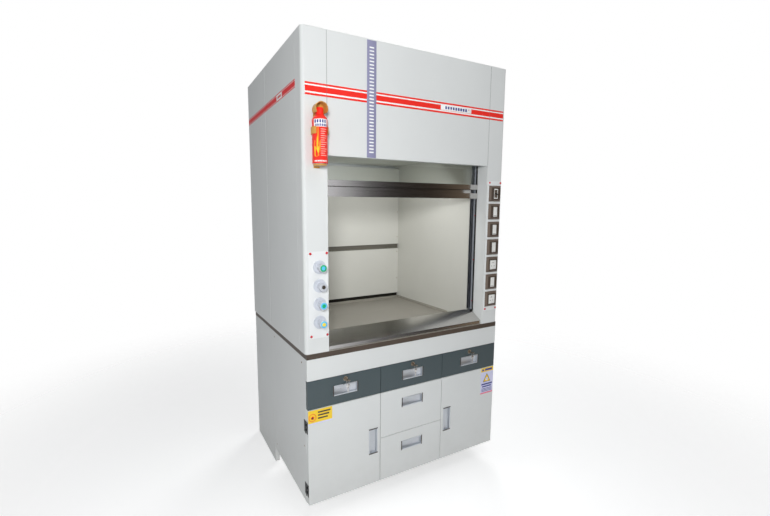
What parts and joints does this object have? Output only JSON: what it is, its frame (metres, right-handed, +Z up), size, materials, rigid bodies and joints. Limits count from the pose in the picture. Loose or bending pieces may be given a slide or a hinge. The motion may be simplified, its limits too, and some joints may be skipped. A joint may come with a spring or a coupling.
{
  "type": "fume hood",
  "caption": "Floor-standing laboratory fume hood with a telescoping vertical sash, service knobs, switch column, airfoil sill, drawers and cupboards under the worktop.",
  "frame": {"origin": "middle of the bounding box, on the floor", "axes": "+Z up, +Y from the front towards the back, +X to the user's right when facing the sash"},
  "size_m": [1.22, 0.9914, 2.34],
  "materials": {
    "white_paint": "satin powder coat, light grey-white",
    "slate_paint": "satin powder coat, dark slate",
    "rubber": "matte black",
    "nickel": "nickel plate",
    "worktop_stone": "honed grey-brown slab",
    "stainless": "brushed stainless, lengthwise grain",
    "lining": "matte off-white chemical-resistant board",
    "diffuser": "frosted diffuser",
    "glass": "clear laminated safety glass",
    "cast_iron": "rough cast",
    "valve_paint": "pale grey-blue enamel",
    "bronze": "bronze-brown metallic plastic",
    "white_insert": "white switch plastic",
    "black_plastic": "black",
    "red_paint": "gloss red enamel",
    "ochre_paint": "ochre enamel"
  },
  "bodies": {
    "hood": {"base_side_left": "white_paint", "base_side_right": "white_paint", "chase_side_left": "white_paint", "chase_side_right": "white_paint", "base_bottom": "white_paint", "base_back": "white_paint", "base_divider_left": "white_paint", "base_divider_right": "white_paint", "apron_panel": "white_paint", "corner_post_left": "white_paint", "corner_post_right": "white_paint", "hood_side_left": "white_paint", "hood_side_right": "white_paint", "header_panel": "white_paint", "top_panel": "white_paint", "hood_back": "white_paint", "foot_front_left": "rubber", "foot_front_right": "rubber", "foot_back_left": "rubber", "foot_back_right": "rubber", "worktop": "worktop_stone", "airfoil_sill": "stainless", "sash_track_left": "stainless", "sash_track_right": "stainless", "liner_left": "lining", "liner_right": "lining", "ceiling_panel": "lining", "baffle_upper": "lining", "baffle_lower": "lining", "lamp_lens": "diffuser", "valve_plate": "valve_paint", "switch_panel": "bronze", "extinguisher": "red_paint", "extinguisher_bracket": "ochre_paint"},
    "drawer_left": {"drawer_left": "slate_paint"},
    "drawer_middle": {"drawer_middle": "slate_paint"},
    "drawer_right": {"drawer_right": "slate_paint"},
    "drawer_centre_upper": {"drawer_centre_upper": "white_paint"},
    "drawer_centre_lower": {"drawer_centre_lower": "white_paint"},
    "door_left": {"door_left": "white_paint"},
    "door_right": {"door_right": "white_paint"},
    "key_left": {"key_left": "nickel"},
    "key_middle": {"key_middle": "nickel"},
    "key_right": {"key_right": "nickel"},
    "sash_lower": {"sash_pane_lower": "glass", "sash_handle": "stainless"},
    "sash_upper": {"sash_pane_upper": "glass"},
    "counterweight_left": {"counterweight_left": "cast_iron"},
    "counterweight_right": {"counterweight_right": "cast_iron"},
    "sash_pulley_left": {"sash_pulley_left": "cast_iron"},
    "sash_pulley_right": {"sash_pulley_right": "cast_iron"},
    "valve_knob_1": {"valve_knob_1": "valve_paint"},
    "valve_knob_2": {"valve_knob_2": "valve_paint"},
    "valve_knob_3": {"valve_knob_3": "valve_paint"},
    "valve_knob_4": {"valve_knob_4": "valve_paint"},
    "rocker_2": {"rocker_2": "white_insert"},
    "rocker_4": {"rocker_4": "white_insert"},
    "rocker_5": {"rocker_5": "white_insert"},
    "rocker_6": {"rocker_6": "white_insert"},
    "toggle_lever": {"toggle_lever": "black_plastic"}
  },
  "joints": [
    {"name": "drawer_left_slide", "type": "slide", "parent": "hood", "child": "drawer_left", "axis": [0, -1, 0], "range_m": [0, 0.4]},
    {"name": "drawer_middle_slide", "type": "slide", "parent": "hood", "child": "drawer_middle", "axis": [0, -1, 0], "range_m": [0, 0.4]},
    {"name": "drawer_right_slide", "type": "slide", "parent": "hood", "child": "drawer_right", "axis": [0, -1, 0], "range_m": [0, 0.4]},
    {"name": "drawer_centre_upper_slide", "type": "slide", "parent": "hood", "child": "drawer_centre_upper", "axis": [0, -1, 0], "range_m": [0, 0.4]},
    {"name": "drawer_centre_lower_slide", "type": "slide", "parent": "hood", "child": "drawer_centre_lower", "axis": [0, -1, 0], "range_m": [0, 0.4]},
    {"name": "door_left_hinge", "type": "hinge", "parent": "hood", "child": "door_left", "pos_m": [-0.608, -0.4003, 0.332], "axis": [0, 0, -1], "range_deg": [0, 110]},
    {"name": "door_right_hinge", "type": "hinge", "parent": "hood", "child": "door_right", "pos_m": [0.608, -0.4003, 0.332], "axis": [0, 0, 1], "range_deg": [0, 110]},
    {"name": "key_left_turn", "type": "hinge", "parent": "drawer_left", "child": "key_left", "pos_m": [-0.40333, -0.4213, 0.697], "axis": [0, -1, 0], "range_deg": [0, 90]},
    {"name": "key_middle_turn", "type": "hinge", "parent": "drawer_middle", "child": "key_middle", "pos_m": [0, -0.4213, 0.697], "axis": [0, -1, 0], "range_deg": [0, 90]},
    {"name": "key_right_turn", "type": "hinge", "parent": "drawer_right", "child": "key_right", "pos_m": [0.40333, -0.4213, 0.697], "axis": [0, -1, 0], "range_deg": [0, 90]},
    {"name": "sash_slide", "type": "slide", "parent": "hood", "child": "sash_lower", "axis": [0, 0, 1], "range_m": [-0.65, 0.08]},
    {"name": "upper_sash_slide", "type": "slide", "parent": "hood", "child": "sash_upper", "axis": [0, 0, 1], "range_m": [-0.325, 0.04]},
    {"name": "counterweight_left_slide", "type": "slide", "parent": "hood", "child": "counterweight_left", "axis": [0, 0, 1], "range_m": [-0.08, 0.65]},
    {"name": "counterweight_right_slide", "type": "slide", "parent": "hood", "child": "counterweight_right", "axis": [0, 0, 1], "range_m": [-0.08, 0.65]},
    {"name": "sash_pulley_left_spin", "type": "hinge", "parent": "hood", "child": "sash_pulley_left", "pos_m": [-0.515, -0.3073, 2.207], "axis": [0, 1, 0], "range_deg": [-132, 1065]},
    {"name": "sash_pulley_right_spin", "type": "hinge", "parent": "hood", "child": "sash_pulley_right", "pos_m": [0.515, -0.3073, 2.207], "axis": [0, 1, 0], "range_deg": [-1065, 132]},
    {"name": "valve_knob_1_turn", "type": "hinge", "parent": "hood", "child": "valve_knob_1", "pos_m": [-0.5375, -0.4563, 0.997], "axis": [0, -1, 0], "range_deg": [0, 270]},
    {"name": "valve_knob_2_turn", "type": "hinge", "parent": "hood", "child": "valve_knob_2", "pos_m": [-0.5375, -0.4563, 1.0825], "axis": [0, -1, 0], "range_deg": [0, 270]},
    {"name": "valve_knob_3_turn", "type": "hinge", "parent": "hood", "child": "valve_knob_3", "pos_m": [-0.5375, -0.4563, 1.168], "axis": [0, -1, 0], "range_deg": [0, 270]},
    {"name": "valve_knob_4_turn", "type": "hinge", "parent": "hood", "child": "valve_knob_4", "pos_m": [-0.5375, -0.4563, 1.2535], "axis": [0, -1, 0], "range_deg": [0, 270]},
    {"name": "rocker_2_tilt", "type": "hinge", "parent": "hood", "child": "rocker_2", "pos_m": [0.55, -0.4321, 1.0959], "axis": [-1, 0, 0], "range_deg": [0, 8]},
    {"name": "rocker_4_tilt", "type": "hinge", "parent": "hood", "child": "rocker_4", "pos_m": [0.55, -0.4321, 1.2977], "axis": [-1, 0, 0], "range_deg": [0, 8]},
    {"name": "rocker_5_tilt", "type": "hinge", "parent": "hood", "child": "rocker_5", "pos_m": [0.55, -0.4321, 1.3986], "axis": [-1, 0, 0], "range_deg": [0, 8]},
    {"name": "rocker_6_tilt", "type": "hinge", "parent": "hood", "child": "rocker_6", "pos_m": [0.55, -0.4321, 1.4995], "axis": [-1, 0, 0], "range_deg": [0, 8]},
    {"name": "toggle_lever_flip", "type": "hinge", "parent": "hood", "child": "toggle_lever", "pos_m": [0.55, -0.4321, 1.6004], "axis": [-1, 0, 0], "range_deg": [0, 40]}
  ],
  "couplings": [
    {"joint": "upper_sash_slide", "follows": "sash_slide", "ratio": 0.5},
    {"joint": "counterweight_left_slide", "follows": "sash_slide", "ratio": -1},
    {"joint": "counterweight_right_slide", "follows": "sash_slide", "ratio": -1},
    {"joint": "sash_pulley_left_spin", "follows": "sash_slide", "rad_per_m": -28.571},
    {"joint": "sash_pulley_right_spin", "follows": "sash_slide", "rad_per_m": 28.571}
  ]
}
